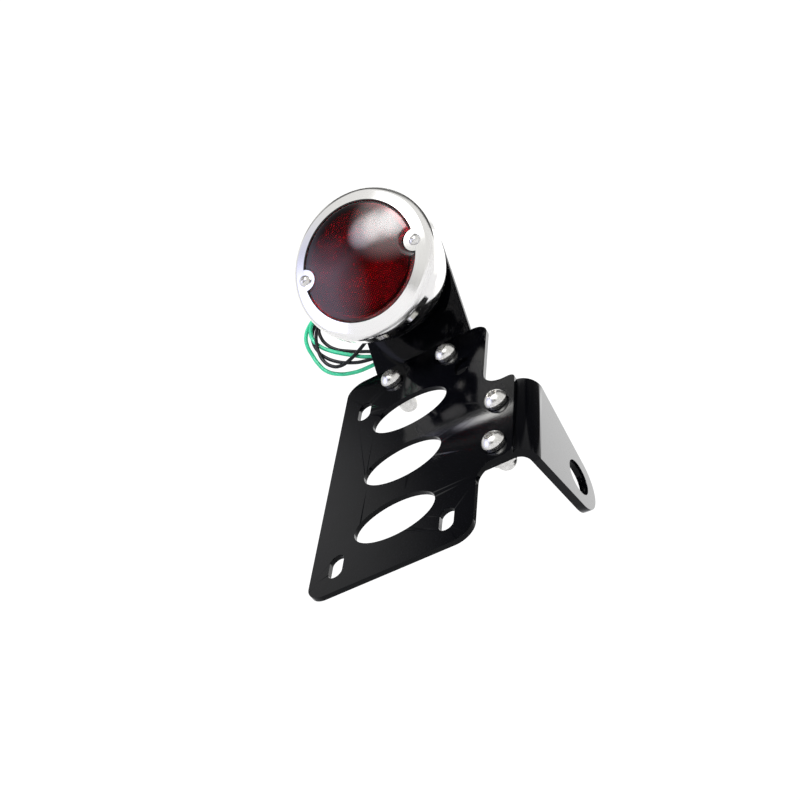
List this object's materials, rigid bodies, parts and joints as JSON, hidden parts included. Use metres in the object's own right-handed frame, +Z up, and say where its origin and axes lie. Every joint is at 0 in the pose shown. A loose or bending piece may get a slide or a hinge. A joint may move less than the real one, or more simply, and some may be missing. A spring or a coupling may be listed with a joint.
{
  "type": "side mount tail light",
  "caption": "Round red tail light on a riser above a leaning black licence plate bracket, with a bent side arm that hangs the assembly on a wheel axle.",
  "frame": {"origin": "centre of the axle hole, in the middle of the arm's thickness", "axes": "+X along the axle, from the lamp's side to the arm's side; +Z up; the lens faces -Y, to the rear of the motorcycle"},
  "size_m": [0.1605, 0.1571, 0.2589],
  "materials": {
    "black_paint": "gloss black powder coat",
    "stainless": "bright stainless",
    "polished_shell": "mirror polished",
    "ruby_lens": "ruby red, fine prisms inside",
    "black_rubber": "soft black",
    "reflector_metal": "bright",
    "socket_steel": "zinc plated",
    "fibre_board": "brown pressed fibre",
    "brass": "bright",
    "clear_glass": "clear",
    "tungsten": "dull",
    "green_insulation": "satin green",
    "black_insulation": "satin black"
  },
  "bodies": {
    "frame": {"plate_bracket": "black_paint", "riser_bracket": "black_paint", "axle_bracket": "black_paint", "riser_screws": "stainless", "riser_head_washers": "stainless", "riser_washers": "stainless", "riser_lock_washers": "stainless", "riser_cap_nuts": "stainless", "axle_bracket_screws": "stainless", "axle_bracket_head_washers": "stainless", "axle_bracket_cap_nuts": "stainless", "lamp_housing": "polished_shell", "bezel": "polished_shell", "bezel_screws": "stainless", "lens": "ruby_lens", "lens_gasket": "black_rubber", "reflector": "reflector_metal", "bulb_socket": "socket_steel", "socket_spring": "socket_steel", "lamp_studs": "stainless", "spacer_nuts": "stainless", "stud_washers": "stainless", "stud_nuts": "stainless", "housing_grommet": "black_rubber", "riser_grommet": "black_rubber", "green_wire": "green_insulation", "black_wire": "black_insulation", "second_black_wire": "black_insulation", "wire_hank": "black_insulation", "cable_tie": "black_insulation"},
    "carrier": {"contact_carrier": "fibre_board", "carrier_contacts": "brass"},
    "bulb": {"bulb_base": "brass", "bulb_pins": "brass", "bulb_contacts": "socket_steel", "bulb_glass": "clear_glass", "bulb_filaments": "tungsten"}
  },
  "joints": [
    {"name": "contact_push", "type": "slide", "parent": "frame", "child": "carrier", "axis": [0, 1, 0], "range_m": [0, 0.003], "stiffness_N_per_m": 2000, "springref_m": -0.002, "deforming": ["socket_spring"]},
    {"name": "bulb_turn", "type": "hinge", "parent": "carrier", "child": "bulb", "pos_m": [-0.077, 0, 0.1743], "axis": [0, -1, 0], "range_deg": [0, 20]}
  ]
}
